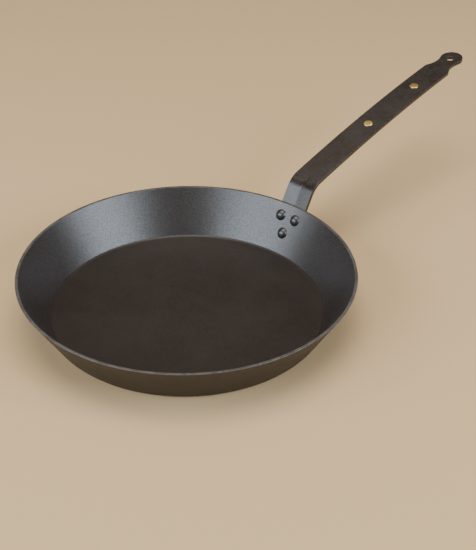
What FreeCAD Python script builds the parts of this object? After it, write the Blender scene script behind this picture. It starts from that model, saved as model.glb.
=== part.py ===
"""Spun black-iron frying pan with a long riveted strap handle.

Frame: millimetres, +Z up, origin at the centre of the underside of the base, handle along +X.
Pieces: the pan shell, the handle strap, three iron rivets that join them and two brass rivets in the strap.
"""
import FreeCAD, Part

import math
import os

import Sketcher

V = FreeCAD.Vector
UP = V(0, 0, 1)
ACROSS = V(0, 1, 0)

SIZES = {
    # pan shell
    "rim_radius": 152.8,
    "pan_height": 44.3,
    "base_radius": 126.0,
    "sheet_thick": 2.5,
    "inner_corner": 3.0,
    "rim_round": 0.4,
    # strap
    "strap_width": 29.0,
    "strap_thick": 3.8,
    "crease_turn": 4.5,
    "tab_past_rivet": 12.0,
    "tab_corner": 11.0,
    "neck_length": 15.8,
    "bend_radius": 22.7,
    "run_slope": 13.5,
    "tail_slope": 7.2,
    "run_length": 221.0,
    # tail
    "waist_width": 19.2,
    "waist_radius": 24.0,
    "tail_radius": 11.9,
    "eye_setback": 2.5,
    "eye_diameter": 8.6,
    # iron rivets through the wall
    "iron_shank": 5.0,
    "inner_head": 11.0,
    "inner_dome": 3.5,
    "outer_head": 10.0,
    "outer_dome": 3.1,
    "pair_side": 8.6,
    "pair_drop": 12.0,
    "single_drop": 28.0,
    # brass rivets through the run
    "brass_shank": 4.0,
    "brass_head": 9.6,
    "brass_proud": 0.8,
    "brass_bevel": 0.5,
    "brass_near": 96.6,
    "brass_far": 177.7,
    # fits
    "shank_clearance": 0.05,
}

# cutters stand this far past the faces that they cut through
OVERCUT = 2.0
BEND_STEPS = 12
LEAN = "(sizes.rim_radius - sizes.base_radius) / sizes.pan_height"
FACET_TILT = f"asin(sin(sizes.crease_turn) / sqrt(1 + ({LEAN})^2))"
RUN_RADIUS = "sizes.run_length * 180 / (pi * (sizes.run_slope - sizes.tail_slope))"
IRON_HOLE = "sizes.iron_shank / 2 + sizes.shank_clearance"
IRON_SEAT = "sizes.outer_head / 2 + sizes.shank_clearance"
BRASS_HOLE = "sizes.brass_shank / 2 + sizes.shank_clearance"


def make_sheet(doc):
    """The spreadsheet of driving dimensions, one row each."""
    sheet = doc.addObject("Spreadsheet::Sheet", "sizes")
    for row, (alias, value) in enumerate(SIZES.items(), start=1):
        sheet.set(f"A{row}", alias)
        sheet.set(f"B{row}", str(value))
        sheet.setAlias(f"B{row}", alias)
    doc.recompute()
    return sheet


class Layout:
    """Places worked out from the sheet: the wall's cone, the strap's line and the rivets' seats."""

    def __init__(self, sheet):
        for alias in SIZES:
            setattr(self, alias, float(getattr(sheet, alias)))
        self.wall_slope = math.atan2(self.pan_height, self.rim_radius - self.base_radius)
        # the strap's halves are planes that touch the wall crease_turn to each side of the handle's line
        turn = math.radians(self.crease_turn)
        self.crease_slope = math.atan(math.tan(self.wall_slope) * math.cos(turn))
        self.facet_tilt = math.asin(math.sin(self.wall_slope) * math.sin(turn))
        self.crease_at_rim = V(self.rim_radius / math.cos(turn), 0, self.pan_height)
        self.tab_length = self.single_drop + self.tab_past_rivet
        self.bend_turn = self.crease_slope - math.radians(self.run_slope)
        self.run_turn = math.radians(self.run_slope - self.tail_slope)

    def on_neck(self, distance):
        """Point and slope of the strap's top face above the rim, or below it where distance is negative."""
        way = V(math.cos(self.crease_slope), 0, math.sin(self.crease_slope))
        return self.crease_at_rim + way * distance, self.crease_slope

    def on_bend(self, share):
        """Point and slope on the bend's top face, from 0 at the neck to 1 at the run."""
        start, slope = self.on_neck(self.neck_length)
        return along_arc(start, slope, self.bend_radius, share * self.bend_turn)

    def on_run(self, distance):
        """Point and slope on the gently arched run's top face, by distance from the bend."""
        start, slope = self.on_bend(1)
        radius = self.run_length / self.run_turn
        return along_arc(start, slope, radius, distance / radius)

    def run_placement(self, distance):
        """Frame on the run's top face: X along the strap, Z out of the face."""
        point, slope = self.on_run(distance)
        return FreeCAD.Placement(point, FreeCAD.Rotation(ACROSS, -math.degrees(slope)))

    def wall_placement(self, side, drop):
        """Frame on the inner wall: Z out of the wall into the pan, drop measured down from the rim."""
        inner_rim = self.rim_radius - self.sheet_thick / math.sin(self.wall_slope)
        radius = inner_rim - drop * math.cos(self.wall_slope)
        around = math.asin(side / radius)
        height = self.pan_height - drop * math.sin(self.wall_slope)
        point = V(radius * math.cos(around), radius * math.sin(around), height)
        turned = FreeCAD.Rotation(UP, math.degrees(around))
        tilted = FreeCAD.Rotation(ACROSS, -math.degrees(self.wall_slope))
        return FreeCAD.Placement(point, turned.multiply(tilted))

    def seat_depth(self, placement):
        """Depth of an outer rivet seat below the inner wall, cut square through one facet or both."""
        axis = placement.Rotation.multVec(UP)
        facet_turn = math.radians(math.copysign(self.crease_turn, placement.Base.y))
        flat = math.sin(self.wall_slope)
        facet = V(-flat * math.cos(facet_turn), -flat * math.sin(facet_turn), math.cos(self.wall_slope))
        back = self.crease_at_rim - facet * self.strap_thick
        straight = (placement.Base - back).dot(facet) / axis.dot(facet)
        return straight - math.tan(axis.getAngle(facet)) * self.outer_head / 2

    def under_lift(self):
        """How far the run's hollow underside drops at the edge of a brass rivet head."""
        return (self.brass_head / 2) ** 2 * self.run_turn / (2 * self.run_length)

    def head_lift(self, placement):
        """How far the hollow wall rises under the edge of an inner rivet head."""
        around = math.hypot(placement.Base.x, placement.Base.y) / math.sin(self.wall_slope)
        return (self.inner_head / 2) ** 2 / (2 * around)


def along_arc(start, slope, radius, turn):
    """Point and slope after the top face has turned down by turn, in radians."""
    end_slope = slope - turn
    run = radius * (math.sin(slope) - math.sin(end_slope))
    rise = radius * (math.cos(end_slope) - math.cos(slope))
    return start + V(run, 0, rise), end_slope


def shifted(placement, distance):
    """The placement moved along its own Z."""
    return placement.multiply(FreeCAD.Placement(UP * distance, FreeCAD.Rotation()))


def attach_sketch(body, name, role):
    """Sketch on one of the body's own origin planes."""
    plane = next(item for item in body.Origin.OriginFeatures if item.Role == role)
    sketch = body.newObject("Sketcher::SketchObject", name)
    sketch.AttachmentSupport = (plane, "")
    sketch.MapMode = "FlatFace"
    return sketch


def dimension(sketch, expression, kind, *where):
    """Adds one dimension to a sketch and ties it to the sheet."""
    value = sketch.evalExpression(expression)
    index = sketch.addConstraint(Sketcher.Constraint(kind, *where, float(value)))
    sketch.setExpression(f"Constraints[{index}]", expression)


def cut_cylinder(body, name, placement, radius, low, high):
    """Cuts a round hole in a body, along the placement's Z from low to high."""
    cutter = body.newObject("PartDesign::SubtractiveCylinder", name)
    cutter.setExpression("Radius", radius)
    cutter.Height = high - low
    cutter.Placement = shifted(placement, low)
    return cutter


def round_arc(centre, size, first, last):
    """Arc about a centre, anticlockwise from one point to another."""
    turns = [math.atan2(point.y - centre.y, point.x - centre.x) for point in (first, last)]
    if turns[1] < turns[0]:
        turns[1] += 2 * math.pi
    return Part.ArcOfCircle(Part.Circle(centre, UP, size), *turns)


def rounded_outline(sketch, corners):
    """Closed outline of straight lines, its corners given as expressions for x, y and a radius or None."""
    points = []
    for x, y, _ in corners:
        points.append(V(float(sketch.evalExpression(x)), float(sketch.evalExpression(y)), 0))
    count = len(corners)
    starts = list(points)
    ends = list(points)
    arcs = {}
    for i, (_, _, radius) in enumerate(corners):
        if radius is None:
            continue
        size = float(sketch.evalExpression(radius))
        arriving = (points[i] - points[i - 1]).normalize()
        leaving = (points[(i + 1) % count] - points[i]).normalize()
        trim = size * math.tan(arriving.getAngle(leaving) / 2)
        ends[i] = points[i] - arriving * trim
        starts[i] = points[i] + leaving * trim
        centre = points[i] + (leaving - arriving).normalize() * math.hypot(size, trim)
        if arriving.cross(leaving).z > 0:
            arcs[i] = (round_arc(centre, size, ends[i], starts[i]), 1, 2)
        else:
            arcs[i] = (round_arc(centre, size, starts[i], ends[i]), 2, 1)
    lines = []
    for i in range(count):
        after = (i + 1) % count
        lines.append(sketch.addGeometry(Part.LineSegment(starts[i], ends[after])))
    for i, (x, y, radius) in enumerate(corners):
        before = lines[i - 1]
        if radius is None:
            sketch.addConstraint(Sketcher.Constraint("Coincident", before, 2, lines[i], 1))
            corner = lines[i]
        else:
            shape, arriving_end, leaving_end = arcs[i]
            arc = sketch.addGeometry(shape)
            sketch.addConstraint(Sketcher.Constraint("Tangent", before, 2, arc, arriving_end))
            sketch.addConstraint(Sketcher.Constraint("Tangent", arc, leaving_end, lines[i], 1))
            dimension(sketch, radius, "Radius", arc)
            corner = sketch.addGeometry(Part.Point(points[i]), True)
            sketch.addConstraint(Sketcher.Constraint("PointOnObject", corner, 1, before))
            sketch.addConstraint(Sketcher.Constraint("PointOnObject", corner, 1, lines[i]))
        place_point(sketch, corner, x, y, points[i])


def place_point(sketch, geometry, x, y, point):
    """Ties a point of a sketch to its x and y, or to an axis where one of them is nought."""
    if abs(point.x) < 1e-9:
        sketch.addConstraint(Sketcher.Constraint("PointOnObject", geometry, 1, -2))
    else:
        dimension(sketch, x, "DistanceX", -1, 1, geometry, 1)
    if abs(point.y) < 1e-9:
        sketch.addConstraint(Sketcher.Constraint("PointOnObject", geometry, 1, -1))
    else:
        dimension(sketch, y, "DistanceY", -1, 1, geometry, 1)


def pan_shell(doc, layout):
    """The spun pan: flat base, straight sloping wall and a level rim, with three rivet holes."""
    body = doc.addObject("PartDesign::Body", "pan_shell")
    sketch = attach_sketch(body, "wall_profile", "XZ_Plane")
    level_thick = f"sizes.sheet_thick * sqrt(1 + ({LEAN})^2)"
    rounded_outline(sketch, (
        ("0", "0", None),
        ("sizes.base_radius", "0", "sizes.inner_corner + sizes.sheet_thick"),
        ("sizes.rim_radius", "sizes.pan_height", "sizes.rim_round"),
        (f"sizes.rim_radius - {level_thick}", "sizes.pan_height", "sizes.rim_round"),
        (f"sizes.base_radius + sizes.sheet_thick * {LEAN} - {level_thick}", "sizes.sheet_thick",
         "sizes.inner_corner"),
        ("0", "sizes.sheet_thick", None),
    ))
    spun = body.newObject("PartDesign::Revolution", "spun_wall")
    spun.Profile = sketch
    spun.ReferenceAxis = (sketch, ["V_Axis"])
    spun.Angle = 360
    for name, side, drop in iron_places(layout):
        through = layout.wall_placement(side, drop)
        cut_cylinder(body, f"{name}_hole", through, IRON_HOLE, -layout.sheet_thick - OVERCUT, OVERCUT)
    return body


def crease_section(point, slope, layout, tilt):
    """Cross-section of the strap: a shallow valley in the top face, flat where tilt is nought."""
    normal = V(-math.sin(slope), 0, math.cos(slope))
    half = layout.strap_width / 2
    edge_rise = normal * (half * math.tan(tilt))
    down = normal * (-layout.strap_thick / math.cos(tilt))
    left = point + ACROSS * half + edge_rise
    right = point - ACROSS * half + edge_rise
    corners = (left, point, right, right + down, point + down, left + down)
    return Part.makePolygon(corners + corners[:1])


def bend_blank(doc, layout):
    """The bend, where the creased section of the neck flattens out into the run."""
    sections = []
    for step in range(BEND_STEPS + 1):
        share = step / BEND_STEPS
        sections.append(crease_section(*layout.on_bend(share), layout, (1 - share) * layout.facet_tilt))
    blank = doc.addObject("Part::Feature", "bend_blank")
    blank.Shape = Part.makeLoft(sections, True, True)
    return blank


def neck_section(body, layout):
    """Sketch of the creased section, at the end of the tab and square to the neck."""
    sketch = attach_sketch(body, "neck_section", "XY_Plane")
    end, slope = layout.on_neck(-layout.tab_length)
    normal = V(-math.sin(slope), 0, math.cos(slope))
    way = V(math.cos(slope), 0, math.sin(slope))
    sketch.AttachmentOffset = FreeCAD.Placement(end, FreeCAD.Rotation(ACROSS, normal, way, "ZXY"))
    side = "sizes.strap_width / 2"
    edge = f"{side} * tan({FACET_TILT})"
    down = f"sizes.strap_thick / cos({FACET_TILT})"
    rounded_outline(sketch, (
        ("0", "0", None),
        (side, edge, None),
        (side, f"{edge} - {down}", None),
        ("0", f"-({down})", None),
        (f"-({side})", f"{edge} - {down}", None),
        (f"-({side})", edge, None),
    ))
    return sketch


def run_profile(body, layout):
    """Sketch of the gently arched run from the side, in a frame at the end of the bend."""
    sketch = attach_sketch(body, "run_profile", "XZ_Plane")
    start, slope = layout.on_run(0)
    turned = FreeCAD.Rotation(UP, math.degrees(slope))
    sketch.AttachmentOffset = FreeCAD.Placement(V(start.x, start.z, 0), turned)
    radius = layout.run_length / layout.run_turn
    centre = V(0, -radius, 0)
    crown = math.pi / 2
    arcs = []
    for size in (radius, radius - layout.strap_thick):
        circle = Part.Circle(centre, UP, size)
        arcs.append(sketch.addGeometry(Part.ArcOfCircle(circle, crown - layout.run_turn, crown)))
    top, under = arcs
    ends = []
    for point in ("StartPoint", "EndPoint"):
        corners = [getattr(sketch.Geometry[arc], point) for arc in arcs]
        ends.append(sketch.addGeometry(Part.LineSegment(*corners)))
    far, near = ends
    for kind, *where in (
        ("Coincident", top, 2, -1, 1),
        ("Coincident", top, 3, under, 3),
        ("PointOnObject", top, 3, -2),
        ("Coincident", near, 1, top, 2),
        ("Coincident", near, 2, under, 2),
        ("PointOnObject", under, 2, -2),
        ("Coincident", far, 1, top, 1),
        ("Coincident", far, 2, under, 1),
        ("PointOnObject", top, 3, far),
    ):
        sketch.addConstraint(Sketcher.Constraint(kind, *where))
    dimension(sketch, RUN_RADIUS, "Radius", top)
    dimension(sketch, f"{RUN_RADIUS} - sizes.strap_thick", "Radius", under)
    turn = sketch.addConstraint(Sketcher.Constraint("Angle", top, layout.run_turn))
    sketch.setExpression(f"Constraints[{turn}]", "(sizes.run_slope - sizes.tail_slope) * 1 deg")
    return sketch


def tail_outline(body, layout):
    """Sketch of the shaped tail: shoulders, waist and round end with a hanging eye."""
    sketch = attach_sketch(body, "tail_outline", "XY_Plane")
    sketch.AttachmentOffset = layout.run_placement(layout.run_length)
    half = layout.strap_width / 2
    hollow = layout.waist_radius
    hollow_y = layout.waist_width / 2 + hollow
    hollow_x = math.sqrt(hollow ** 2 - (hollow_y - half) ** 2)
    reach = hollow + layout.tail_radius
    centre_x = hollow_x + math.sqrt(reach ** 2 - hollow_y ** 2)
    lean = math.atan2(hollow_y, centre_x - hollow_x)
    shoulder = math.atan2(half - hollow_y, -hollow_x)
    left = Part.Circle(V(hollow_x, hollow_y, 0), UP, hollow)
    right = Part.Circle(V(hollow_x, -hollow_y, 0), UP, hollow)
    end = Part.Circle(V(centre_x, 0, 0), UP, layout.tail_radius)
    line = sketch.addGeometry(Part.LineSegment(V(0, half, 0), V(0, -half, 0)))
    left_arc = sketch.addGeometry(Part.ArcOfCircle(left, shoulder + 2 * math.pi, 2 * math.pi - lean))
    right_arc = sketch.addGeometry(Part.ArcOfCircle(right, lean, -shoulder))
    end_arc = sketch.addGeometry(Part.ArcOfCircle(end, lean - math.pi, math.pi - lean))
    eye_centre = V(centre_x - layout.eye_setback, 0, 0)
    eye = sketch.addGeometry(Part.Circle(eye_centre, UP, layout.eye_diameter / 2))
    for kind, *where in (
        ("Coincident", line, 1, left_arc, 1),
        ("Coincident", line, 2, right_arc, 2),
        ("Tangent", left_arc, 2, end_arc, 2),
        ("Tangent", right_arc, 1, end_arc, 1),
        ("PointOnObject", line, 1, -2),
        ("Symmetric", line, 1, line, 2, -1),
        ("PointOnObject", end_arc, 3, -1),
        ("PointOnObject", eye, 3, -1),
        ("Equal", left_arc, right_arc),
    ):
        sketch.addConstraint(Sketcher.Constraint(kind, *where))
    dimension(sketch, "sizes.strap_width", "DistanceY", line, 2, line, 1)
    dimension(sketch, "sizes.waist_radius", "Radius", left_arc)
    dimension(sketch, "sizes.waist_radius + sizes.waist_width / 2", "DistanceY", -1, 1, left_arc, 3)
    dimension(sketch, "sizes.tail_radius", "Radius", end_arc)
    dimension(sketch, "sizes.eye_diameter / 2", "Radius", eye)
    dimension(sketch, "sizes.eye_setback", "DistanceX", eye, 3, end_arc, 3)
    return sketch


def round_tab(body):
    """Rounds the two corners of the tab's lower end, where its side faces meet its end face."""
    tab = body.Tip
    upright = []
    for number, edge in enumerate(tab.Shape.Edges, start=1):
        ends = [vertex.Y for vertex in edge.Vertexes]
        if abs(ends[0] - ends[1]) < 1e-6 and abs(ends[0]) > 1e-6:
            upright.append((edge.CenterOfMass.z, f"Edge{number}"))
    lowest = [name for _, name in sorted(upright)[:2]]
    rounded = body.newObject("PartDesign::Fillet", "tab_corners")
    rounded.Base = (tab, lowest)
    rounded.setExpression("Radius", "sizes.tab_corner")


def add_pad(body, name, sketch, length):
    """Solid pad of a sketch, its length tied to the sheet."""
    pad = body.newObject("PartDesign::Pad", name)
    pad.Profile = sketch
    pad.setExpression("Length", length)
    return pad


def handle(doc, layout):
    """The strap handle, with its shaped tail, its rivet holes and the seats of the outer rivet heads."""
    body = doc.addObject("PartDesign::Body", "handle")
    body.BaseFeature = bend_blank(doc, layout)
    neck_length = "sizes.single_drop + sizes.tab_past_rivet + sizes.neck_length"
    add_pad(body, "neck_and_tab", neck_section(body, layout), neck_length)
    doc.recompute()
    round_tab(body)
    run = add_pad(body, "run", run_profile(body, layout), "sizes.strap_width")
    run.Midplane = True
    tail = add_pad(body, "tail", tail_outline(body, layout), "sizes.strap_thick")
    tail.Reversed = True
    below = -layout.strap_thick - OVERCUT
    for name, distance in brass_places(layout):
        cut_cylinder(body, f"{name}_hole", layout.run_placement(distance), BRASS_HOLE, below, OVERCUT)
    for name, side, drop in iron_places(layout):
        through = layout.wall_placement(side, drop)
        seat = layout.seat_depth(through)
        cut_cylinder(body, f"{name}_hole", through, IRON_HOLE, -seat - OVERCUT, OVERCUT)
        cut_cylinder(body, f"{name}_seat", through, IRON_SEAT, -seat - OVERCUT, -seat)
    return body


def iron_places(layout):
    """Name, side and drop of each iron rivet: a pair near the rim and one below."""
    return (
        ("pan_rivet_left", layout.pair_side, layout.pair_drop),
        ("pan_rivet_right", -layout.pair_side, layout.pair_drop),
        ("pan_rivet_lower", 0.0, layout.single_drop),
    )


def brass_places(layout):
    """Name and distance along the run of each brass rivet."""
    return (
        ("handle_rivet_near", layout.brass_near),
        ("handle_rivet_far", layout.brass_far),
    )


def fuse(doc, name, pieces):
    """One solid from primitives that touch."""
    whole = doc.addObject("Part::MultiFuse", name)
    whole.Shapes = pieces
    whole.Refine = True
    return whole


def dome(doc, name, end, height, outwards):
    """Domed head of the rivet's inner or outer end, with its flat base at the given height."""
    across = f"sizes.{end}_head"
    tall = f"sizes.{end}_dome"
    ball = f"({across}^2 / 4 + {tall}^2) / (2 * {tall})"
    head = doc.addObject("Part::Sphere", name)
    head.setExpression("Radius", ball)
    head.setExpression("Angle1", f"asin(1 - {tall} / ({ball}))")
    head.Angle2 = 90
    sink = head.evalExpression(f"{ball} - {tall}")
    head.Placement = FreeCAD.Placement(
        UP * (height - float(sink) * outwards),
        FreeCAD.Rotation() if outwards > 0 else FreeCAD.Rotation(V(1, 0, 0), 180),
    )
    return head


def iron_rivet(doc, name, side, drop, layout):
    """Rivet through wall and strap, with a dome inside the pan and a dome on the strap's back."""
    place = layout.wall_placement(side, drop)
    lift = layout.head_lift(place)
    seat = layout.seat_depth(place)
    shank = doc.addObject("Part::Cylinder", f"{name}_shank")
    shank.setExpression("Radius", "sizes.iron_shank / 2")
    shank.Height = lift + seat
    shank.Placement = FreeCAD.Placement(UP * -seat, FreeCAD.Rotation())
    inner = dome(doc, f"{name}_inner_head", "inner", lift, 1)
    outer = dome(doc, f"{name}_outer_head", "outer", -seat, -1)
    rivet = fuse(doc, name, [shank, inner, outer])
    rivet.Placement = place
    return rivet


def brass_rivet(doc, name, distance, layout):
    """Rivet through the strap, with a low bevelled head on each face."""
    shank = doc.addObject("Part::Cylinder", f"{name}_shank")
    grip = layout.strap_thick + layout.under_lift()
    shank.setExpression("Radius", "sizes.brass_shank / 2")
    shank.Height = grip
    shank.Placement = FreeCAD.Placement(UP * -grip, FreeCAD.Rotation())
    pieces = [shank]
    for face, height, turn in (("top", 0, 0), ("under", -grip, 180)):
        disc = doc.addObject("Part::Cylinder", f"{name}_{face}_disc")
        disc.setExpression("Radius", "sizes.brass_head / 2")
        disc.setExpression("Height", "sizes.brass_proud - sizes.brass_bevel")
        bevel = doc.addObject("Part::Cone", f"{name}_{face}_bevel")
        bevel.setExpression("Radius1", "sizes.brass_head / 2")
        bevel.setExpression("Radius2", "sizes.brass_head / 2 - sizes.brass_bevel")
        bevel.setExpression("Height", "sizes.brass_bevel")
        facing = FreeCAD.Placement(UP * height, FreeCAD.Rotation(V(1, 0, 0), turn))
        disc.Placement = facing
        bevel.Placement = shifted(facing, layout.brass_proud - layout.brass_bevel)
        pieces += [disc, bevel]
    rivet = fuse(doc, name, pieces)
    rivet.Placement = layout.run_placement(distance)
    return rivet


def check(doc, parts):
    """Stops unless every object is sound and every sub-part is one valid solid."""
    for item in doc.Objects:
        if "Invalid" in item.State or "Error" in item.State:
            raise RuntimeError(f"{item.Label} failed: {item.State}")
    for part in parts:
        if part.Shape.isNull() or not part.Shape.isValid() or len(part.Shape.Solids) != 1:
            raise RuntimeError(f"{part.Label} isn't one valid solid")


def main():
    doc = FreeCAD.newDocument("pan")
    layout = Layout(make_sheet(doc))
    parts = [pan_shell(doc, layout), handle(doc, layout)]
    parts += [iron_rivet(doc, *place, layout) for place in iron_places(layout)]
    parts += [brass_rivet(doc, *place, layout) for place in brass_places(layout)]
    doc.recompute()
    check(doc, parts)
    os.makedirs("parts", exist_ok=True)
    for part in parts:
        part.Shape.exportStep(f"parts/{part.Label}.step")
        print(part.Label, round(part.Shape.Volume, 1), part.Shape.BoundBox)


main()
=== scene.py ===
"""Spun black-iron frying pan with a riveted strap handle, finished for looks. Metres, in the CAD frame."""

import math

import bmesh
import bpy
from mathutils import Matrix, Vector


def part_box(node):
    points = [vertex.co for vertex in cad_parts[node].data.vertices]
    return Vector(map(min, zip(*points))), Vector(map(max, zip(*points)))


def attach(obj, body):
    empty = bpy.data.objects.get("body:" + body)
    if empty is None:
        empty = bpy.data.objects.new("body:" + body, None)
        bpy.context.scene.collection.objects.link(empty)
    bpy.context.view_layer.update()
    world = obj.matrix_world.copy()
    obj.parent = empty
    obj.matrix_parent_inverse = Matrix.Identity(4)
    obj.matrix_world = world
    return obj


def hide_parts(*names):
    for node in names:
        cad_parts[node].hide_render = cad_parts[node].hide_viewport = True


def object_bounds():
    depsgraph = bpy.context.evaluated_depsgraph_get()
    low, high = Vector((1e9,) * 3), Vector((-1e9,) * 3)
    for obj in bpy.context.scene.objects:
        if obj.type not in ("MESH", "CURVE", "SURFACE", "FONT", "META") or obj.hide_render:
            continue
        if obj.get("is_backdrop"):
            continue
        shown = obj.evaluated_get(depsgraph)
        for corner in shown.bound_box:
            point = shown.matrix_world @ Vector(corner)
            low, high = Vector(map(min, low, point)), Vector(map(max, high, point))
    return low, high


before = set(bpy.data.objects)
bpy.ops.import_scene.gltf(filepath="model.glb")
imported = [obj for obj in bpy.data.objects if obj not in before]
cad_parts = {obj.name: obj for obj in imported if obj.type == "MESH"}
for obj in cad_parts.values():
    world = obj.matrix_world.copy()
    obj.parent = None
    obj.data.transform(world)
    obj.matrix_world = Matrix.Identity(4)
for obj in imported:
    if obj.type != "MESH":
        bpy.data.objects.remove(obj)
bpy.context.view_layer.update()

ACROSS = Vector((0, 1, 0))
UP = Vector((0, 0, 1))

# pan
RIM_RADIUS = 0.1528
BASE_RADIUS = 0.126
PAN_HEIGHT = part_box("pan_shell")[1].z
SHEET = 0.0025
INNER_CORNER = 0.003
RIM_ROUND = 0.00045
BASE_RINGS = (0.012, 0.030, 0.040, 0.030)
SPARE_WALL = 1.15
AROUND = 288
WALL_SLOPE = math.atan2(PAN_HEIGHT, RIM_RADIUS - BASE_RADIUS)

# strap handle
STRAP_WIDTH = 0.029
STRAP_THICK = 0.0038
CREASE_TURN = math.radians(4.5)
TAB_LENGTH = 0.040
TAB_CORNER = 0.011
NECK_LENGTH = 0.0158
BEND_RADIUS = 0.0227
BEND_STEPS = 24
RUN_SLOPE = math.radians(13.5)
TAIL_SLOPE = math.radians(7.2)
RUN_LENGTH = 0.221
RUN_STEPS = 44
WAIST_WIDTH = 0.0192
WAIST_RADIUS = 0.024
WAIST_STEPS = 12
TAIL_RADIUS = 0.0119
TAIL_STEPS = 26
EYE_SETBACK = 0.0025
EYE_RADIUS = 0.0043
SHOULDER_ROUND = 0.003
STRAP_EDGE = 0.0005
CREASE_SOFT = 0.0012

# rivets
INNER_HEAD = 0.011
INNER_DOME = 0.0035
OUTER_HEAD = 0.010
OUTER_DOME = 0.0031
IRON_SHANK = 0.005
PAIR_SIDE = 0.0086
PAIR_DROP = 0.012
SINGLE_DROP = 0.028
BRASS_HEAD = 0.0096
BRASS_SHANK = 0.004
BRASS_PROUD = 0.0008
BRASS_BEVEL = 0.0005
BRASS_CROWN = BRASS_PROUD * 0.1
BRASS_EASE = BRASS_BEVEL * 0.3
IRON_GRIP = SHEET + STRAP_THICK

# how near two places are to count as one, for picking and for merging
HAIR = 1e-5
SPECK = 1e-6

# angles in degrees up to which a piece is shaded smooth, and past which the strap's edges are broken
SMOOTH_ROUND = 32
SMOOTH_STRAP = 40
BREAK_EDGES = 35

# a face's normal is square on to a direction past this cosine
SQUARE_ON = 0.999


# --- modelling by hand ---------------------------------------------------------------------------------

def deselect():
    """Nothing selected, in object mode."""
    if bpy.context.object and bpy.context.object.mode != "OBJECT":
        bpy.ops.object.mode_set(mode="OBJECT")
    bpy.ops.object.select_all(action="DESELECT")


def start_piece(name, add, scale=(1, 1, 1), **settings):
    """Adds a primitive, applies its placing to its mesh and opens it for editing."""
    deselect()
    add(**settings)
    piece = bpy.context.object
    piece.scale = scale
    piece.name = name
    piece.data.name = name
    bpy.ops.object.transform_apply(location=True, rotation=True, scale=True)
    bpy.ops.object.mode_set(mode="EDIT")
    return piece


def pick(piece, kind, test):
    """Selects the vertices, edges or faces that pass a test, and nothing else."""
    bpy.ops.mesh.select_mode(type=kind)
    bpy.ops.mesh.select_all(action="DESELECT")
    mesh = bmesh.from_edit_mesh(piece.data)
    elements = {"VERT": mesh.verts, "EDGE": mesh.edges, "FACE": mesh.faces}[kind]
    for element in elements:
        if test(element):
            element.select_set(True)
    mesh.select_flush_mode()
    bmesh.update_edit_mesh(piece.data)


def every(test):
    """A test for an edge or face that all its vertices have to pass."""
    return lambda element: all(test(vertex.co) for vertex in element.verts)


def extrude(value):
    """Draws out what is selected by that much."""
    bpy.ops.mesh.extrude_region_move(TRANSFORM_OT_translate={"value": value})


def scale_about_axis(ratio):
    """Widens or narrows what is selected about the vertical axis through the origin."""
    bpy.ops.transform.resize(value=(ratio, ratio, 1), center_override=(0, 0, 0))


def close_piece(piece):
    """Merges doubles, turns every face outwards and leaves edit mode."""
    bpy.ops.mesh.select_all(action="SELECT")
    bpy.ops.mesh.remove_doubles(threshold=SPECK)
    bpy.ops.mesh.normals_make_consistent(inside=False)
    bpy.ops.object.mode_set(mode="OBJECT")


def apply_modifier(piece, name, kind, **settings):
    """Adds one modifier and applies it at once."""
    modifier = piece.modifiers.new(name, kind)
    for setting, value in settings.items():
        setattr(modifier, setting, value)
    deselect()
    piece.select_set(True)
    bpy.context.view_layer.objects.active = piece
    bpy.ops.object.modifier_apply(modifier=name)


def smooth(piece, angle):
    """Smooths the piece up to an angle, its broad faces staying flat right up to their eased edges."""
    deselect()
    piece.select_set(True)
    bpy.context.view_layer.objects.active = piece
    bpy.ops.object.shade_smooth_by_angle(angle=math.radians(angle))
    apply_modifier(piece, "flat_faces", "WEIGHTED_NORMAL", mode="FACE_AREA", weight=100, keep_sharp=True)


# --- pan -----------------------------------------------------------------------------------------------

def spun_pan():
    """Disc drawn up into a sloping wall, given its thickness, trimmed level and its edges eased."""
    pan = start_piece("spun_pan", bpy.ops.mesh.primitive_circle_add, vertices=AROUND, radius=BASE_RADIUS,
                      fill_type="NGON")
    bpy.ops.mesh.select_mode(type="FACE")
    bpy.ops.mesh.select_all(action="SELECT")
    for step in BASE_RINGS:
        bpy.ops.mesh.inset(thickness=step, depth=0)
    bpy.ops.mesh.poke()

    def at_corner(co):
        return math.hypot(co.x, co.y) > BASE_RADIUS - HAIR

    pick(pan, "EDGE", every(at_corner))
    extrude((0, 0, PAN_HEIGHT * SPARE_WALL))
    scale_about_axis(1 + (RIM_RADIUS / BASE_RADIUS - 1) * SPARE_WALL)
    pick(pan, "EDGE", every(lambda co: at_corner(co) and co.z < HAIR))
    corner = (INNER_CORNER + SHEET) * math.tan(WALL_SLOPE / 2)
    bpy.ops.mesh.bevel(offset=corner, offset_type="OFFSET", segments=8, profile=0.5, affect="EDGES")
    bpy.ops.mesh.select_all(action="SELECT")
    bpy.ops.mesh.normals_make_consistent(inside=False)
    bpy.ops.object.mode_set(mode="OBJECT")
    apply_modifier(pan, "sheet", "SOLIDIFY", thickness=SHEET, offset=-1, use_even_offset=True)
    bpy.ops.object.mode_set(mode="EDIT")
    bpy.ops.mesh.select_all(action="SELECT")
    bpy.ops.mesh.bisect(plane_co=(0, 0, PAN_HEIGHT), plane_no=(0, 0, 1), clear_outer=True)
    pick(pan, "EDGE", every(lambda co: co.z > PAN_HEIGHT - SPECK))
    bpy.ops.mesh.bridge_edge_loops()
    ease_rim(pan, RIM_RADIUS, math.pi - WALL_SLOPE)
    ease_rim(pan, RIM_RADIUS - SHEET / math.sin(WALL_SLOPE), WALL_SLOPE)
    close_piece(pan)
    smooth(pan, SMOOTH_ROUND)
    return pan


def ease_rim(pan, radius, turn):
    """Rounds the rim's edge at a radius, where the surface turns by that much."""
    def on_edge(co):
        return co.z > PAN_HEIGHT - SPECK and abs(math.hypot(co.x, co.y) - radius) < HAIR

    pick(pan, "EDGE", every(on_edge))
    bpy.ops.mesh.bevel(offset=RIM_ROUND * math.tan(turn / 2), offset_type="OFFSET", segments=6, profile=0.5,
                       affect="EDGES")


# --- strap handle --------------------------------------------------------------------------------------

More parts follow.
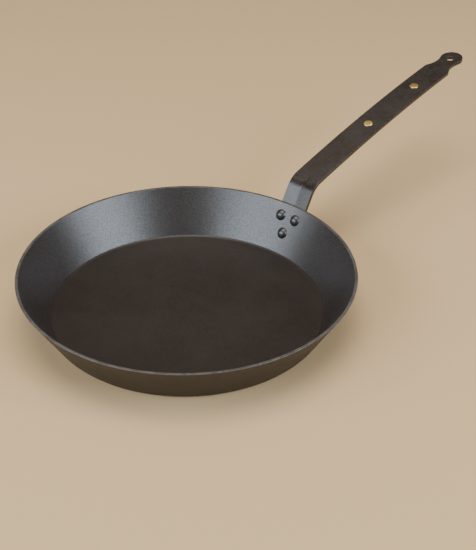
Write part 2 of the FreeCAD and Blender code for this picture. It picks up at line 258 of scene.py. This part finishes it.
class StrapLine:
    """The line of the strap's top face, from the tab to the eye."""

    def __init__(self):
        self.crease_slope = math.atan(math.tan(WALL_SLOPE) * math.cos(CREASE_TURN))
        tilt = math.asin(math.sin(WALL_SLOPE) * math.sin(CREASE_TURN))
        self.edge_rise = STRAP_WIDTH / 2 * math.tan(tilt)
        self.crease_at_rim = Vector((RIM_RADIUS / math.cos(CREASE_TURN), 0, PAN_HEIGHT))
        self.bend_turn = self.crease_slope - RUN_SLOPE
        self.run_turn = RUN_SLOPE - TAIL_SLOPE

    def on_neck(self, distance):
        return self.crease_at_rim + along(self.crease_slope) * distance, self.crease_slope

    def on_bend(self, share):
        start, slope = self.on_neck(NECK_LENGTH)
        return along_arc(start, slope, BEND_RADIUS, share * self.bend_turn)

    def on_run(self, distance):
        start, slope = self.on_bend(1)
        return along_arc(start, slope, RUN_LENGTH / self.run_turn, distance * self.run_turn / RUN_LENGTH)

    def slope_at(self, distance_out):
        """Slope of the run at a distance from the pan's axis."""
        start, slope = self.on_bend(1)
        return math.asin(math.sin(slope) - (distance_out - start.x) * self.run_turn / RUN_LENGTH)


def along(slope):
    """Direction along the strap where it slopes by that much."""
    return Vector((math.cos(slope), 0, math.sin(slope)))


def out_of(slope):
    """Direction square out of the strap's top face."""
    return Vector((-math.sin(slope), 0, math.cos(slope)))


def along_arc(start, slope, radius, turn):
    """Point and slope after the top face has turned down by turn."""
    end_slope = slope - turn
    run = radius * (math.sin(slope) - math.sin(end_slope))
    rise = radius * (math.cos(end_slope) - math.cos(slope))
    return start + Vector((run, 0, rise)), end_slope


def spin_on(start, slope, radius, turn, steps):
    """Carries the selected section round an arc that curves the strap down."""
    centre = start - out_of(slope) * radius
    bpy.ops.mesh.spin(steps=steps, angle=-turn, center=centre, axis=ACROSS)


def tail_widths():
    """Distances along the tail with half its width there, and the distance of the round end's centre."""
    half = STRAP_WIDTH / 2
    hollow_y = WAIST_WIDTH / 2 + WAIST_RADIUS
    hollow_x = math.sqrt(WAIST_RADIUS ** 2 - (hollow_y - half) ** 2)
    centre = hollow_x + math.sqrt((WAIST_RADIUS + TAIL_RADIUS) ** 2 - hollow_y ** 2)
    lean = math.atan2(hollow_y, centre - hollow_x)
    first = math.atan2(hollow_x, hollow_y - half)
    last = math.pi / 2 - lean
    stations = []
    for step in range(1, WAIST_STEPS + 1):
        turn = -first + (first + last) * step / WAIST_STEPS
        stations.append((hollow_x + WAIST_RADIUS * math.sin(turn), hollow_y - WAIST_RADIUS * math.cos(turn)))
    for step in range(1, TAIL_STEPS):
        turn = lean + (math.pi - lean) * step / TAIL_STEPS
        stations.append((centre - TAIL_RADIUS * math.cos(turn), TAIL_RADIUS * math.sin(turn)))
    return stations, centre


def strap_handle(line):
    """Flat bar: bent at the neck, arched along the run, its tail shaped, then creased over the wall."""
    end, slope = line.on_neck(-TAB_LENGTH)
    strap = start_piece("strap_handle", bpy.ops.mesh.primitive_plane_add, size=1,
                        location=end - out_of(slope) * STRAP_THICK / 2, rotation=(0, math.pi / 2 - slope, 0),
                        scale=(STRAP_THICK, STRAP_WIDTH, 1))
    pick(strap, "EDGE", lambda edge: abs(edge.verts[0].co.y - edge.verts[1].co.y) > STRAP_WIDTH / 2)
    bpy.ops.mesh.subdivide(number_cuts=1)
    pick(strap, "FACE", lambda face: True)
    extrude(along(slope) * (TAB_LENGTH + NECK_LENGTH))
    spin_on(*line.on_neck(NECK_LENGTH), BEND_RADIUS, line.bend_turn, BEND_STEPS)
    spin_on(*line.on_bend(1), RUN_LENGTH / line.run_turn, line.run_turn, RUN_STEPS)
    shape_tail(line)
    crease(strap, line)
    bpy.ops.mesh.select_all(action="SELECT")
    bpy.ops.mesh.normals_make_consistent(inside=False)
    bpy.ops.object.mode_set(mode="OBJECT")
    return strap


def shape_tail(line):
    """Carries the selected end section out along the waist and the round end."""
    _, slope = line.on_run(RUN_LENGTH)
    distance = 0.0
    half = STRAP_WIDTH / 2
    stations, _ = tail_widths()
    for station, half_width in stations:
        extrude(along(slope) * (station - distance))
        bpy.ops.transform.resize(value=(1, half_width / half, 1), center_override=(0, 0, 0))
        distance = station
        half = half_width


def crease(strap, line):
    """Raises the strap's edges along the tab and neck, less and less through the bend."""
    rings = [(*line.on_neck(-TAB_LENGTH), 0)]
    for step in range(BEND_STEPS):
        share = step / BEND_STEPS
        rings.append((*line.on_bend(share), share))
    for point, slope, share in rings:
        radial = out_of(slope)

        def on_ring(co):
            beyond = (co - point).dot(along(slope))
            level = (co - point).dot(radial)
            return abs(co.y) > STRAP_WIDTH / 4 and abs(beyond) < HAIR and -1.5 * STRAP_THICK < level < HAIR

        pick(strap, "VERT", lambda vertex: on_ring(vertex.co))
        bpy.ops.transform.translate(value=radial * line.edge_rise * (1 - share))


def pierce_and_ease(strap, line):
    """Rounds the tab's corners, the shoulders and the crease, drills the eye and breaks every sharp edge."""
    tab_end = line.on_neck(-TAB_LENGTH)[0]
    tail_start, tail_slope = line.on_run(RUN_LENGTH)
    outwards = out_of(tail_slope)

    def through_thickness(edge):
        first, second = (vertex.co for vertex in edge.verts)
        return abs(first.y - second.y) < SPECK and abs(first.y) > STRAP_WIDTH * 0.49

    def at_tab_end(co):
        return (co - tab_end).dot(along(line.crease_slope)) < HAIR

    def at_shoulder(co):
        return abs((co - tail_start).dot(along(tail_slope))) < HAIR

    def on_tail_face(face):
        beyond = (face.calc_center_median() - tail_start).dot(along(tail_slope))
        return beyond > 0 and abs(face.normal.dot(outwards)) > SQUARE_ON

    bpy.ops.object.mode_set(mode="EDIT")
    pick(strap, "EDGE", lambda edge: through_thickness(edge) and every(at_shoulder)(edge))
    bpy.ops.mesh.bevel(offset=SHOULDER_ROUND, offset_type="OFFSET", segments=4, affect="EDGES")
    pick(strap, "EDGE", lambda edge: through_thickness(edge) and every(at_tab_end)(edge))
    bpy.ops.mesh.bevel(offset=TAB_CORNER, offset_type="OFFSET", segments=12, affect="EDGES")
    crease_end = line.on_bend(0.6)[0].x
    pick(strap, "EDGE", every(lambda co: abs(co.y) < SPECK and co.x < crease_end))
    bpy.ops.mesh.bevel(offset=CREASE_SOFT, offset_type="OFFSET", segments=3, affect="EDGES")
    pick(strap, "FACE", on_tail_face)
    bpy.ops.mesh.dissolve_limited(angle_limit=math.radians(0.5))
    bpy.ops.object.mode_set(mode="OBJECT")

    eye = tail_start + along(tail_slope) * (tail_widths()[1] - EYE_SETBACK) - outwards * STRAP_THICK / 2
    drill = start_piece("eye_drill", bpy.ops.mesh.primitive_cylinder_add, vertices=56, radius=EYE_RADIUS,
                        depth=STRAP_THICK * 3, location=eye, rotation=(0, -tail_slope, 0))
    bpy.ops.object.mode_set(mode="OBJECT")
    apply_modifier(strap, "eye", "BOOLEAN", operation="DIFFERENCE", object=drill, solver="EXACT")
    bpy.data.objects.remove(drill)
    apply_modifier(strap, "edges", "BEVEL", width=STRAP_EDGE, segments=3, limit_method="ANGLE",
                   angle_limit=math.radians(BREAK_EDGES))
    smooth(strap, SMOOTH_STRAP)


# --- rivets --------------------------------------------------------------------------------------------

def close_rivet(rivet, head, shank):
    """Draws the shank down from the head to the rivet's middle and mirrors the whole to its other end."""
    pick(rivet, "FACE", lambda face: face.normal.z < -SQUARE_ON)
    bpy.ops.mesh.inset(thickness=(head - shank) / 2, depth=0)
    low = min(vertex.co.z for vertex in bmesh.from_edit_mesh(rivet.data).verts)
    extrude((0, 0, -low))
    bpy.ops.mesh.delete(type="FACE")
    bpy.ops.object.mode_set(mode="OBJECT")
    apply_modifier(rivet, "both_ends", "MIRROR", use_axis=(False, False, True), merge_threshold=HAIR)
    bpy.ops.object.mode_set(mode="EDIT")
    close_piece(rivet)
    smooth(rivet, SMOOTH_ROUND)


def dome_rivet(grip):
    """Iron rivet, standing on its axis with its middle at the origin: a dome at each end of a shank."""
    ball = (INNER_HEAD ** 2 / 4 + INNER_DOME ** 2) / (2 * INNER_DOME)
    rivet = start_piece("dome_rivet", bpy.ops.mesh.primitive_uv_sphere_add, segments=64, ring_count=80,
                        radius=ball, location=(0, 0, grip / 2 + INNER_DOME - ball))
    bpy.ops.mesh.select_all(action="SELECT")
    bpy.ops.mesh.bisect(plane_co=(0, 0, grip / 2), plane_no=(0, 0, 1), use_fill=True, clear_inner=True)
    close_rivet(rivet, INNER_HEAD, IRON_SHANK)
    bpy.ops.object.mode_set(mode="EDIT")
    pick(rivet, "VERT", lambda vertex: vertex.co.z < SPECK - grip / 2)
    smaller = OUTER_HEAD / INNER_HEAD
    bpy.ops.transform.resize(value=(smaller, smaller, OUTER_DOME / INNER_DOME),
                             center_override=(0, 0, -grip / 2))
    bpy.ops.object.mode_set(mode="OBJECT")
    return rivet


def flat_rivet(grip):
    """Brass rivet, standing on its axis with its middle at the origin: a low bevelled head at each end."""
    rivet = start_piece("flat_rivet", bpy.ops.mesh.primitive_circle_add, vertices=72, radius=BRASS_HEAD / 2,
                        fill_type="NGON", location=(0, 0, grip / 2))
    bpy.ops.mesh.select_mode(type="FACE")
    bpy.ops.mesh.select_all(action="SELECT")
    extrude((0, 0, BRASS_PROUD - BRASS_BEVEL - BRASS_CROWN))
    extrude((0, 0, BRASS_BEVEL))
    scale_about_axis(1 - BRASS_BEVEL / (BRASS_HEAD / 2))
    top = grip / 2 + BRASS_PROUD - BRASS_CROWN
    pick(rivet, "EDGE", lambda edge: len(edge.link_faces) == 2 and edge.calc_face_angle() > 0.6
         and edge.verts[0].co.z > grip / 2 + HAIR)
    bpy.ops.mesh.bevel(offset=BRASS_EASE, offset_type="OFFSET", segments=3, affect="EDGES")
    pick(rivet, "FACE", lambda face: face.calc_center_median().z > top - SPECK and len(face.verts) > 8)
    for share in (0.45, 0.3, 0.25):
        bpy.ops.mesh.inset(thickness=BRASS_HEAD * 0.12, depth=0)
        bpy.ops.transform.translate(value=(0, 0, BRASS_CROWN * share))
    close_rivet(rivet, BRASS_HEAD, BRASS_SHANK)
    return rivet


def wall_rivet_place(side, drop):
    """Middle of a rivet through wall and tab, so far to the side and so far down the wall from the rim."""
    inner_rim = RIM_RADIUS - SHEET / math.sin(WALL_SLOPE)
    radius = inner_rim - drop * math.cos(WALL_SLOPE)
    around = math.asin(side / radius)
    inner_end = Vector((radius, 0, PAN_HEIGHT - drop * math.sin(WALL_SLOPE)))
    return Matrix.Rotation(around, 3, "Z") @ (inner_end - out_of(WALL_SLOPE) * IRON_GRIP / 2)


def set_rivet(pattern, name, middle, tilt):
    """Copies a rivet, with a mesh of its own, to its place, its axis tilted back from upright."""
    rivet = pattern.copy()
    rivet.data = pattern.data.copy()
    rivet.name = name
    rivet.data.name = name
    bpy.context.scene.collection.objects.link(rivet)
    turn = Matrix.Rotation(math.atan2(middle.y, middle.x), 4, "Z") @ Matrix.Rotation(-tilt, 4, "Y")
    rivet.data.transform(Matrix.Translation(middle) @ turn)
    return rivet


# --- effects shared by the finishes --------------------------------------------------------------------

def add_node(tree, kind, sockets=None, **settings):
    """Adds a node; each socket named gets a value, or a link from another node's output."""
    node = tree.nodes.new(kind)
    for setting, value in settings.items():
        setattr(node, setting, value)
    for socket, value in (sockets or {}).items():
        if isinstance(value, bpy.types.NodeSocket):
            tree.links.new(value, node.inputs[socket])
        else:
            node.inputs[socket].default_value = value
    return node


def calculate(tree, operation, *values):
    """One step of arithmetic on numbers or outputs."""
    node = add_node(tree, "ShaderNodeMath", dict(enumerate(values)), operation=operation)
    return node.outputs["Value"]


def spread(tree, value, low, high, to_low=0.0, to_high=1.0):
    """Stretches a value's range from low..high to another, eased at both ends."""
    sockets = {"Value": value, "From Min": low, "From Max": high, "To Min": to_low, "To Max": to_high}
    node = add_node(tree, "ShaderNodeMapRange", sockets, interpolation_type="SMOOTHSTEP")
    return node.outputs["Result"]


def mix_colours(tree, share, first, second):
    """Goes from the first colour to the second as the share rises."""
    node = add_node(tree, "ShaderNodeMix", {"Factor": share}, data_type="RGBA")
    for socket, colour in ((node.inputs[6], first), (node.inputs[7], second)):
        if isinstance(colour, bpy.types.NodeSocket):
            tree.links.new(colour, socket)
        else:
            socket.default_value = (*colour, 1)
    return node.outputs[2]


def noise(tree, place, scale, detail, roughness=0.5, distortion=0.0):
    """Soft random pattern, from 0 to 1."""
    sockets = {"Vector": place, "Scale": scale, "Detail": detail, "Roughness": roughness,
               "Distortion": distortion}
    return add_node(tree, "ShaderNodeTexNoise", sockets).outputs["Fac"]


def object_place(tree):
    """Each point's place on its piece, in metres."""
    return add_node(tree, "ShaderNodeTexCoord").outputs["Object"]


def new_group(name, inputs, outputs):
    """Starts a shader group with named number sockets; gives it with its input sockets."""
    tree = bpy.data.node_groups.new(name, "ShaderNodeTree")
    for socket, value in inputs.items():
        tree.interface.new_socket(socket, in_out="INPUT", socket_type="NodeSocketFloat").default_value = value
    for socket in outputs:
        tree.interface.new_socket(socket, in_out="OUTPUT", socket_type="NodeSocketFloat")
    return tree, add_node(tree, "NodeGroupInput").outputs


def fine_grain():
    """Close-set pimples of a baked-on finish: Mask is light on their tops."""
    tree, given = new_group("fine_grain", {"Size": 0.001}, ("Mask", "Height"))
    place = object_place(tree)
    density = calculate(tree, "DIVIDE", 1.0, given["Size"])
    ground = noise(tree, place, calculate(tree, "MULTIPLY", density, 1.7), 4, 0.7)
    cells = add_node(tree, "ShaderNodeTexVoronoi", {"Vector": place, "Scale": density}, feature="SMOOTH_F1")
    pimples = spread(tree, cells.outputs["Distance"], 0.85, 0.05)
    height = calculate(tree, "MULTIPLY_ADD", pimples, 0.35, calculate(tree, "MULTIPLY", ground, 0.65))
    mask = spread(tree, height, 0.32, 0.68)
    add_node(tree, "NodeGroupOutput", {"Mask": mask, "Height": height})
    return tree


def clouding():
    """Broad soft patches, each broken up by smaller ones."""
    tree, given = new_group("clouding", {"Size": 0.03}, ("Mask",))
    scale = calculate(tree, "DIVIDE", 1.0, given["Size"])
    patches = noise(tree, object_place(tree), scale, 5, 0.6, 0.8)
    add_node(tree, "NodeGroupOutput", {"Mask": spread(tree, patches, 0.36, 0.64)})
    return tree


def edge_wear():
    """Where corners have been rubbed: all along them, but more in some patches than in others."""
    tree, given = new_group("edge_wear", {"Width": 0.0006, "Patch Size": 0.006}, ("Mask",))
    eased = add_node(tree, "ShaderNodeBevel", {"Radius": given["Width"]}, samples=8).outputs["Normal"]
    facing = add_node(tree, "ShaderNodeNewGeometry").outputs["Normal"]
    agreement = add_node(tree, "ShaderNodeVectorMath", {0: eased, 1: facing}, operation="DOT_PRODUCT")
    corner = spread(tree, agreement.outputs["Value"], 0.99, 0.86)
    scale = calculate(tree, "DIVIDE", 1.0, given["Patch Size"])
    patches = spread(tree, noise(tree, object_place(tree), scale, 4, 0.65), 0.36, 0.6, 0.3, 1.0)
    add_node(tree, "NodeGroupOutput", {"Mask": calculate(tree, "MULTIPLY", corner, patches)})
    return tree


def painted_corner_shade():
    """Painted shade: darkens the colour where one piece sits close on another, found by ambient occlusion."""
    tree, given = new_group("painted_corner_shade", {"Reach": 0.0012}, ("Mask",))
    shade = add_node(tree, "ShaderNodeAmbientOcclusion", {"Distance": given["Reach"]}, samples=8)
    add_node(tree, "NodeGroupOutput", {"Mask": spread(tree, shade.outputs["AO"], 0.95, 0.35)})
    return tree


def spinning_lines():
    """Faint uneven rings about the upright axis, left by the spinning tool."""
    tree, given = new_group("spinning_lines", {"Spacing": 0.001}, ("Height",))
    flat = add_node(tree, "ShaderNodeVectorMath", {0: object_place(tree), 1: (1, 1, 0)}, operation="MULTIPLY")
    radius = add_node(tree, "ShaderNodeVectorMath", {0: flat.outputs["Vector"]}, operation="LENGTH")
    turns = calculate(tree, "DIVIDE", radius.outputs["Value"], given["Spacing"])
    rings = add_node(tree, "ShaderNodeTexNoise", {"W": turns, "Scale": 1.0, "Detail": 2.0},
                     noise_dimensions="1D")
    add_node(tree, "NodeGroupOutput", {"Height": rings.outputs["Fac"]})
    return tree


def streaks():
    """Long thin marks that run lengthwise, from rolling or from rubbing."""
    tree, given = new_group("streaks", {"Length": 0.03, "Width": 0.0008}, ("Mask", "Height"))
    lengthwise = calculate(tree, "DIVIDE", 1.0, given["Length"])
    crosswise = calculate(tree, "DIVIDE", 1.0, given["Width"])
    scales = add_node(tree, "ShaderNodeCombineXYZ", {"X": lengthwise, "Y": crosswise, "Z": crosswise})
    stretched = add_node(tree, "ShaderNodeVectorMath", {0: object_place(tree), 1: scales.outputs["Vector"]},
                         operation="MULTIPLY")
    marks = noise(tree, stretched.outputs["Vector"], 1.0, 3, 0.6)
    add_node(tree, "NodeGroupOutput", {"Mask": spread(tree, marks, 0.45, 0.7), "Height": marks})
    return tree


# --- finishes ------------------------------------------------------------------------------------------

class Finish:
    """A material under way: the shader, its tree and what has been laid on it so far."""

    def __init__(self, name, **constants):
        self.material = bpy.data.materials.new(name)
        self.material.use_nodes = True
        self.tree = self.material.node_tree
        self.shader = self.tree.nodes["Principled BSDF"]
        for socket, value in constants.items():
            self.shader.inputs[socket.replace("_", " ")].default_value = value
        self.normal = None

    def effect(self, group, **values):
        """Places a shared effect with this finish's own values; gives its outputs."""
        node = add_node(self.tree, "ShaderNodeGroup", node_tree=group)
        for socket, value in values.items():
            node.inputs[socket.replace("_", " ")].default_value = value
        return node.outputs

    def mix(self, share, first, second):
        return mix_colours(self.tree, share, first, second)

    def part_of(self, mask, share):
        return calculate(self.tree, "MULTIPLY", mask, share)

    def relief(self, height, depth, strength):
        """Lays one more relief over those before it."""
        sockets = {"Height": height, "Distance": depth, "Strength": strength}
        if self.normal:
            sockets["Normal"] = self.normal
        self.normal = add_node(self.tree, "ShaderNodeBump", sockets).outputs["Normal"]

    def done(self, **sockets):
        """Links the finished colour, roughness and so on to the shader."""
        for socket, source in sockets.items():
            self.tree.links.new(source, self.shader.inputs[socket.replace("_", " ")])
        self.tree.links.new(self.normal, self.shader.inputs["Normal"])
        return self.material


def seasoned_iron():
    """The pan: black oil-baked sheet, fine-grained, burnished on its sloping inside, with a painted highlight
    lightening the top of the rim.
    """
    finish = Finish("seasoned_iron", IOR=1.45, Coat_Roughness=0.36, Coat_IOR=1.62)
    grain = finish.effect(GRAIN, Size=0.0010)
    coarse = finish.effect(GRAIN, Size=0.0023)["Height"]
    broad = finish.effect(CLOUDS, Size=0.06)["Mask"]
    small = finish.effect(CLOUDS, Size=0.009)["Mask"]
    rings = finish.effect(RINGS, Spacing=0.0016)["Height"]
    patches = finish.effect(CLOUDS, Size=0.012)["Mask"]
    height = add_node(finish.tree, "ShaderNodeSeparateXYZ", {0: object_place(finish.tree)}).outputs["Z"]
    # painted highlight: the top half-millimetre of the rim, inside and out, is lightened in patches
    at_rim = spread(finish.tree, height, PAN_HEIGHT - 0.0005, PAN_HEIGHT - 0.0001)
    edge_wear_and_rim_highlight = finish.part_of(at_rim, spread(finish.tree, patches, 0.0, 1.0, 0.55, 1.0))
    facing = add_node(finish.tree, "ShaderNodeTexCoord").outputs["Normal"]
    upward = add_node(finish.tree, "ShaderNodeSeparateXYZ", {0: facing}).outputs["Z"]
    inside = spread(finish.tree, upward, 0.1, 0.35)
    sloping = finish.part_of(inside, spread(finish.tree, upward, 0.92, 0.65))
    burnished = finish.part_of(sloping, spread(finish.tree, grain["Mask"], 0.0, 1.0, 0.55, 1.0))
    dark_oil = (0.0095, 0.0050, 0.0032)
    light_oil = (0.0130, 0.0082, 0.0062)
    thin_oil = (0.0170, 0.0120, 0.0095)
    grain_tops = (0.030, 0.025, 0.023)
    rim_highlight = (0.085, 0.077, 0.070)
    colour = finish.mix(broad, dark_oil, light_oil)
    colour = finish.mix(finish.part_of(small, 0.35), colour, thin_oil)
    colour = finish.mix(finish.part_of(grain["Mask"], 0.35), colour, grain_tops)
    # painted highlight along the rim
    colour = finish.mix(edge_wear_and_rim_highlight, colour, rim_highlight)
    roughness = spread(finish.tree, finish.part_of(grain["Mask"], broad), 0.0, 1.0, 0.42, 0.50)
    finish.relief(rings, 0.0002, 0.10)
    finish.relief(coarse, 0.0004, 0.20)
    finish.relief(grain["Height"], 0.0003, 0.30)
    return finish.done(Base_Color=colour, Roughness=roughness, Coat_Weight=burnished)


def bar_iron():
    """The strap: rolled bar with a thin brown-black scale, faint lengthwise marks and brighter corners."""
    finish = Finish("bar_iron", IOR=1.5)
    grain = finish.effect(GRAIN, Size=0.0007)
    broad = finish.effect(CLOUDS, Size=0.022)["Mask"]
    small = finish.effect(CLOUDS, Size=0.005)["Mask"]
    rolled = finish.effect(STREAKS, Length=0.06, Width=0.0011)
    edge_wear_and_rim_highlight = finish.effect(WEAR, Width=0.0007, Patch_Size=0.008)["Mask"]
    dark_scale = (0.019, 0.0135, 0.0105)
    light_scale = (0.027, 0.022, 0.020)
    thin_scale = (0.036, 0.028, 0.024)
    rolled_marks = (0.012, 0.009, 0.008)
    bare_corner = (0.15, 0.14, 0.13)
    painted_shade_black = (0.004, 0.003, 0.0025)
    colour = finish.mix(broad, dark_scale, light_scale)
    colour = finish.mix(finish.part_of(small, 0.4), colour, thin_scale)
    colour = finish.mix(finish.part_of(rolled["Mask"], 0.3), colour, rolled_marks)
    colour = finish.mix(finish.part_of(edge_wear_and_rim_highlight, 0.12), colour, bare_corner)
    # painted shade: near-black colour where the strap lies close under another piece, such as round the rivet
    # heads
    colour = finish.mix(finish.effect(CORNER_SHADE, Reach=0.0016)["Mask"], colour, painted_shade_black)
    roughness = spread(finish.tree, finish.part_of(grain["Mask"], small), 0.0, 1.0, 0.24, 0.34)
    finish.relief(rolled["Height"], 0.0001, 0.08)
    finish.relief(grain["Height"], 0.0001, 0.14)
    return finish.done(Base_Color=colour, Roughness=roughness)


def upset_iron():
    """The domed rivets: blue-black iron, slightly uneven from the hammer."""
    finish = Finish("upset_iron", IOR=1.8)
    grain = finish.effect(GRAIN, Size=0.0006)
    dents = finish.effect(CLOUDS, Size=0.0028)["Mask"]
    edge_wear_and_rim_highlight = finish.effect(WEAR, Width=0.0005, Patch_Size=0.003)["Mask"]
    blue_black = (0.0085, 0.0085, 0.0095)
    brown_black = (0.018, 0.0165, 0.0165)
    bare_corner = (0.05, 0.046, 0.043)
    colour = finish.mix(dents, blue_black, brown_black)
    colour = finish.mix(finish.part_of(edge_wear_and_rim_highlight, 0.3), colour, bare_corner)
    roughness = spread(finish.tree, grain["Mask"], 0.0, 1.0, 0.30, 0.42)
    finish.relief(dents, 0.0001, 0.12)
    finish.relief(grain["Height"], 0.0001, 0.12)
    return finish.done(Base_Color=colour, Roughness=roughness)


def rubbed_brass():
    """The flat rivets: yellow brass, polished by hand and use, dulled in patches."""
    finish = Finish("rubbed_brass", Metallic=1.0)
    dull = finish.effect(CLOUDS, Size=0.004)["Mask"]
    fine = finish.effect(STREAKS, Length=0.004, Width=0.00012)
    edge_wear_and_rim_highlight = finish.effect(WEAR, Width=0.0004, Patch_Size=0.002)["Mask"]
    bright_brass = (0.92, 0.70, 0.27)
    dull_brass = (0.78, 0.53, 0.16)
    scratches = (0.52, 0.36, 0.15)
    bare_corner = (0.95, 0.84, 0.60)
    painted_shade_brown = (0.10, 0.055, 0.02)
    colour = finish.mix(finish.part_of(dull, 0.55), bright_brass, dull_brass)
    colour = finish.mix(finish.part_of(fine["Mask"], 0.25), colour, scratches)
    colour = finish.mix(finish.part_of(edge_wear_and_rim_highlight, 0.6), colour, bare_corner)
    # painted shade: dark brown colour where the head meets the strap
    colour = finish.mix(finish.effect(CORNER_SHADE, Reach=0.0014)["Mask"], colour, painted_shade_brown)
    roughness = spread(finish.tree, dull, 0.0, 1.0, 0.24, 0.38)
    finish.relief(fine["Height"], 0.00005, 0.15)
    return finish.done(Base_Color=colour, Roughness=roughness)


# --- studio --------------------------------------------------------------------------------------------

VIEW_TURN = math.radians(46.5)
TO_RIGHT = Vector((math.cos(VIEW_TURN), -math.sin(VIEW_TURN), 0))
TO_BACK = Vector((math.sin(VIEW_TURN), math.cos(VIEW_TURN), 0))

# camera: its place and the place it looks at, to the right, towards the back and up
LENS_LENGTH = 81.9
SENSOR_WIDTH = 36
EYE_PLACE = (0, -0.9367, 0.6575)
EYE_AIM = (0.0484, 0.0565, 0)
EYE_ROLL = math.radians(0.38)

# soft lights: name, place as above, width and height, power, colour
COOL_LIGHT = (0.80, 0.90, 1.0)
WARM_LIGHT = (1.0, 0.84, 0.68)
SKY_LIGHT = (1.0, 0.92, 0.82)
SOFT_LIGHTS = (
    ("left", (-1.39, -0.80, 0.90), (1.9, 0.93), 41, COOL_LIGHT),
    ("right", (1.43, -0.73, 0.85), (1.4, 0.83), 32, COOL_LIGHT),
    ("back", (0.1, 1.75, 2.05), (3.0, 0.9), 4.5, WARM_LIGHT),
    ("overhead", (0, 0.1, 2.4), (1.9, 1.9), 48, SKY_LIGHT),
)
LIGHTS_AIM = Vector((0.05, 0, 0.05))
ROOM_COLOUR = (0.80, 0.66, 0.54, 1)
ROOM_STRENGTH = 0.15
FLOOR_SIZE = 14
FLOOR_COLOUR = (0.61, 0.42, 0.22, 1)


def studio_place(right, back, up):
    """A place given as the viewer sees it: to the right, towards the back and up."""
    return TO_RIGHT * right + TO_BACK * back + UP * up


def soft_light(name, place, aim, width, height, power, colour):
    """Rectangular soft light that faces a place."""
    lamp = bpy.data.lights.new(name, "AREA")
    lamp.shape = "RECTANGLE"
    lamp.size = width
    lamp.size_y = height
    lamp.energy = power
    lamp.color = colour
    light = bpy.data.objects.new(name, lamp)
    bpy.context.scene.collection.objects.link(light)
    light.location = place
    light.rotation_euler = (aim - place).to_track_quat("-Z", "Y").to_euler()


def camera():
    """Looks down on the pan from the front left of its handle."""
    lens = bpy.data.cameras.new("camera")
    lens.lens = LENS_LENGTH
    lens.sensor_width = SENSOR_WIDTH
    eye = bpy.data.objects.new("camera", lens)
    bpy.context.scene.collection.objects.link(eye)
    place = studio_place(*EYE_PLACE)
    aim = studio_place(*EYE_AIM)
    looking = (aim - place).to_track_quat("-Z", "Y").to_matrix().to_4x4()
    roll = Matrix.Rotation(EYE_ROLL, 4, "Z")
    eye.matrix_world = Matrix.Translation(place) @ looking @ roll
    bpy.context.scene.camera = eye


def floor():
    """Plain pale floor under the whole object."""
    bpy.ops.mesh.primitive_plane_add(size=FLOOR_SIZE)
    ground = bpy.context.object
    ground.name = "floor"
    material = bpy.data.materials.new("pale_floor")
    material.use_nodes = True
    shader = material.node_tree.nodes["Principled BSDF"]
    shader.inputs["Base Color"].default_value = FLOOR_COLOUR
    shader.inputs["Roughness"].default_value = 0.8
    ground.data.materials.append(material)
    ground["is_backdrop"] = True


def finish_piece(piece, material, slot, *nodes):
    """Gives a piece its finish and lets it stand for CAD nodes."""
    piece.data.materials.clear()
    piece.data.materials.append(material)
    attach(piece, "root")
    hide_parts(*nodes)


line = StrapLine()
pan = spun_pan()
strap = strap_handle(line)
pierce_and_ease(strap, line)
dome = dome_rivet(IRON_GRIP)
flat = flat_rivet(STRAP_THICK)
GRAIN = fine_grain()
CLOUDS = clouding()
WEAR = edge_wear()
CORNER_SHADE = painted_corner_shade()
RINGS = spinning_lines()
STREAKS = streaks()
rivet_iron = upset_iron()
brass = rubbed_brass()
finish_piece(pan, seasoned_iron(), "pan_iron", "pan_shell")
finish_piece(strap, bar_iron(), "strap_iron", "handle")
wall_rivets = {"left": (PAIR_SIDE, PAIR_DROP), "right": (-PAIR_SIDE, PAIR_DROP), "lower": (0, SINGLE_DROP)}
for name, (side, drop) in wall_rivets.items():
    rivet = set_rivet(dome, f"dome_rivet_{name}", wall_rivet_place(side, drop), WALL_SLOPE)
    finish_piece(rivet, rivet_iron, "rivet_iron", f"pan_rivet_{name}")
for name in ("near", "far"):
    low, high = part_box(f"handle_rivet_{name}")
    middle = (low + high) / 2
    rivet = set_rivet(flat, f"flat_rivet_{name}", middle, line.slope_at(middle.x))
    finish_piece(rivet, brass, "brass", f"handle_rivet_{name}")
bpy.data.objects.remove(dome)
bpy.data.objects.remove(flat)
camera()
floor()
for name, place, (width, height), power, colour in SOFT_LIGHTS:
    soft_light(name, studio_place(*place), LIGHTS_AIM, width, height, power, colour)
world = bpy.data.worlds.new("studio")
bpy.context.scene.world = world
world.use_nodes = True
world.node_tree.nodes["Background"].inputs["Color"].default_value = ROOM_COLOUR
world.node_tree.nodes["Background"].inputs["Strength"].default_value = ROOM_STRENGTH

low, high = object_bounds()
